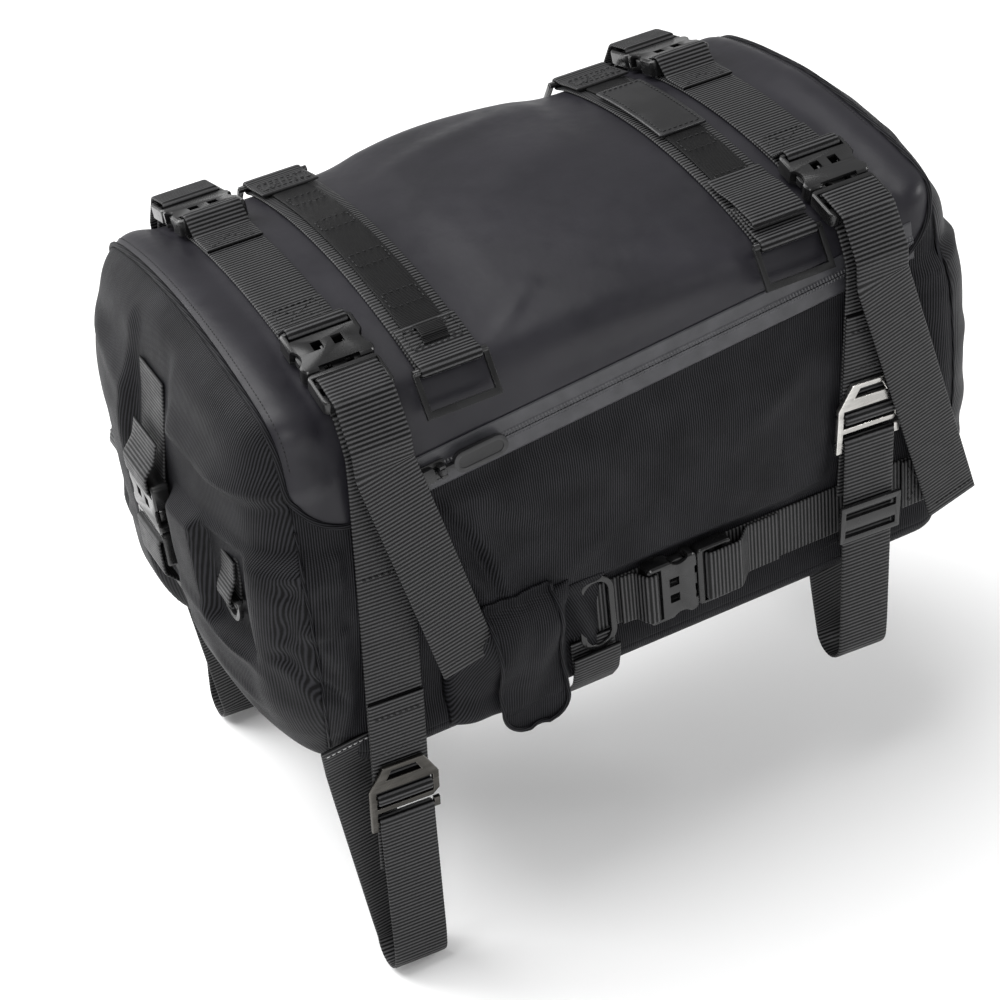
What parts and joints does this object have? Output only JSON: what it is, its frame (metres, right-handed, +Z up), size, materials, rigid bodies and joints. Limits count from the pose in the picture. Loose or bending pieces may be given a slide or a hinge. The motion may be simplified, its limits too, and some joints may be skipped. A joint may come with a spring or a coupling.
{
  "type": "motorcycle tail bag",
  "caption": "Soft rectangular bag for a motorcycle's rear seat, with a zip on its long side, a hinged mouth, buckled straps over the top, hooks and frame straps.",
  "frame": {"origin": "middle of the flat base, on the plane that rests on the seat", "axes": "+X along the bag towards the rear of the motorcycle, -Y the side with the zip, +Z up"},
  "size_m": [0.5506, 0.323, 0.4572],
  "materials": {
    "coated_fabric": "matte coated tarpaulin",
    "woven_fabric": "ribbed nylon twill",
    "webbing": "ribbed polyester webbing",
    "zip_tape": "coated tape with a moulded coil",
    "piping": "woven piping",
    "buckle_plastic": "moulded acetal",
    "dark_metal": "gunmetal plating",
    "bright_metal": "satin nickel",
    "rubber": "soft moulded rubber"
  },
  "bodies": {
    "root": {"base_panel": "woven_fabric", "corner_pocket": "woven_fabric", "end_buckles": "buckle_plastic", "end_webs": "webbing", "far_side_panel": "woven_fabric", "front_end_panel": "woven_fabric", "front_far_hook": "dark_metal", "front_far_mount_strap": "webbing", "front_far_plug": "buckle_plastic", "front_far_side_strap": "webbing", "front_far_socket": "buckle_plastic", "front_near_hook": "dark_metal", "front_near_mount_strap": "webbing", "front_near_plug": "buckle_plastic", "front_near_side_strap": "webbing", "front_near_socket": "buckle_plastic", "front_strip": "webbing", "front_top_web": "webbing", "low_plug": "buckle_plastic", "low_ring": "buckle_plastic", "low_socket": "buckle_plastic", "low_strap": "webbing", "near_side_panel": "woven_fabric", "rear_end_panel": "woven_fabric", "rear_far_hook": "bright_metal", "rear_far_mount_strap": "webbing", "rear_far_plug": "buckle_plastic", "rear_far_side_strap": "webbing", "rear_far_socket": "buckle_plastic", "rear_near_hook": "bright_metal", "rear_near_mount_strap": "webbing", "rear_near_plug": "buckle_plastic", "rear_near_side_strap": "webbing", "rear_near_socket": "buckle_plastic", "rear_strip": "webbing", "rear_top_web": "webbing", "rear_triglides": "buckle_plastic", "seam_piping": "piping", "strip_patch": "rubber", "top_panel": "coated_fabric", "zip_lower_half": "zip_tape", "zip_upper_half": "zip_tape"},
    "mouth": {"mouth_flap": "woven_fabric", "zip_flap_half": "zip_tape"},
    "slider": {"zip_slider": "dark_metal"},
    "puller": {"zip_puller": "rubber"},
    "front_near_prong_a": {"front_near_prong_a": "buckle_plastic"},
    "front_near_prong_b": {"front_near_prong_b": "buckle_plastic"},
    "front_far_prong_a": {"front_far_prong_a": "buckle_plastic"},
    "front_far_prong_b": {"front_far_prong_b": "buckle_plastic"},
    "rear_near_prong_a": {"rear_near_prong_a": "buckle_plastic"},
    "rear_near_prong_b": {"rear_near_prong_b": "buckle_plastic"},
    "rear_far_prong_a": {"rear_far_prong_a": "buckle_plastic"},
    "rear_far_prong_b": {"rear_far_prong_b": "buckle_plastic"},
    "low_prong_a": {"low_prong_a": "buckle_plastic"},
    "low_prong_b": {"low_prong_b": "buckle_plastic"},
    "front_strip_ring": {"front_strip_ring": "buckle_plastic"},
    "rear_strip_ring": {"rear_strip_ring": "buckle_plastic"},
    "far_strip_rings": {"far_strip_rings": "buckle_plastic"},
    "front_d_rings": {"front_d_rings": "buckle_plastic"}
  },
  "joints": [
    {"name": "mouth_opening", "type": "hinge", "parent": "root", "child": "mouth", "pos_m": [0, -0.14464, 0.1047], "axis": [1, 0, 0], "range_deg": [0, 60]},
    {"name": "zip_run", "type": "slide", "parent": "root", "child": "slider", "axis": [0.9961, 0.0125, 0.0875], "range_m": [0, 0.2356]},
    {"name": "puller_lift", "type": "hinge", "parent": "slider", "child": "puller", "pos_m": [-0.13246, -0.14615, 0.2068], "axis": [0.0884, -0.1409, -0.9861], "range_deg": [0, 95]},
    {"name": "front_near_press_a", "type": "slide", "parent": "root", "child": "front_near_prong_a", "axis": [-1, 0, 0], "range_m": [0, 0.0025], "stiffness_N_per_m": 1500},
    {"name": "front_near_press_b", "type": "slide", "parent": "root", "child": "front_near_prong_b", "axis": [1, 0, 0], "range_m": [0, 0.0025], "stiffness_N_per_m": 1500},
    {"name": "front_far_press_a", "type": "slide", "parent": "root", "child": "front_far_prong_a", "axis": [-1, 0, 0], "range_m": [0, 0.0025], "stiffness_N_per_m": 1500},
    {"name": "front_far_press_b", "type": "slide", "parent": "root", "child": "front_far_prong_b", "axis": [1, 0, 0], "range_m": [0, 0.0025], "stiffness_N_per_m": 1500},
    {"name": "rear_near_press_a", "type": "slide", "parent": "root", "child": "rear_near_prong_a", "axis": [-1, 0, 0], "range_m": [0, 0.0025], "stiffness_N_per_m": 1500},
    {"name": "rear_near_press_b", "type": "slide", "parent": "root", "child": "rear_near_prong_b", "axis": [1, 0, 0], "range_m": [0, 0.0025], "stiffness_N_per_m": 1500},
    {"name": "rear_far_press_a", "type": "slide", "parent": "root", "child": "rear_far_prong_a", "axis": [-1, 0, 0], "range_m": [0, 0.0025], "stiffness_N_per_m": 1500},
    {"name": "rear_far_press_b", "type": "slide", "parent": "root", "child": "rear_far_prong_b", "axis": [1, 0, 0], "range_m": [0, 0.0025], "stiffness_N_per_m": 1500},
    {"name": "low_press_a", "type": "slide", "parent": "root", "child": "low_prong_a", "axis": [0, 0, -1], "range_m": [0, 0.0025], "stiffness_N_per_m": 1500},
    {"name": "low_press_b", "type": "slide", "parent": "root", "child": "low_prong_b", "axis": [0, 0, 1], "range_m": [0, 0.0025], "stiffness_N_per_m": 1500},
    {"name": "front_strip_ring_swing", "type": "hinge", "parent": "root", "child": "front_strip_ring", "pos_m": [0, -0.12926, 0.26681], "axis": [-1, 0, 0], "range_deg": [0, 120]},
    {"name": "rear_strip_ring_swing", "type": "hinge", "parent": "root", "child": "rear_strip_ring", "pos_m": [0, -0.12926, 0.26681], "axis": [-1, 0, 0], "range_deg": [0, 120]},
    {"name": "far_strip_rings_swing", "type": "hinge", "parent": "root", "child": "far_strip_rings", "pos_m": [0, 0.12926, 0.26681], "axis": [1, 0, 0], "range_deg": [0, 120]},
    {"name": "front_d_rings_swing", "type": "hinge", "parent": "root", "child": "front_d_rings", "pos_m": [-0.2565, 0, 0.132], "axis": [0, 1, 0], "range_deg": [0, 75]}
  ],
  "couplings": [
    {"joint": "front_near_press_b", "follows": "front_near_press_a", "ratio": 1},
    {"joint": "front_far_press_b", "follows": "front_far_press_a", "ratio": 1},
    {"joint": "rear_near_press_b", "follows": "rear_near_press_a", "ratio": 1},
    {"joint": "rear_far_press_b", "follows": "rear_far_press_a", "ratio": 1},
    {"joint": "low_press_b", "follows": "low_press_a", "ratio": 1}
  ]
}
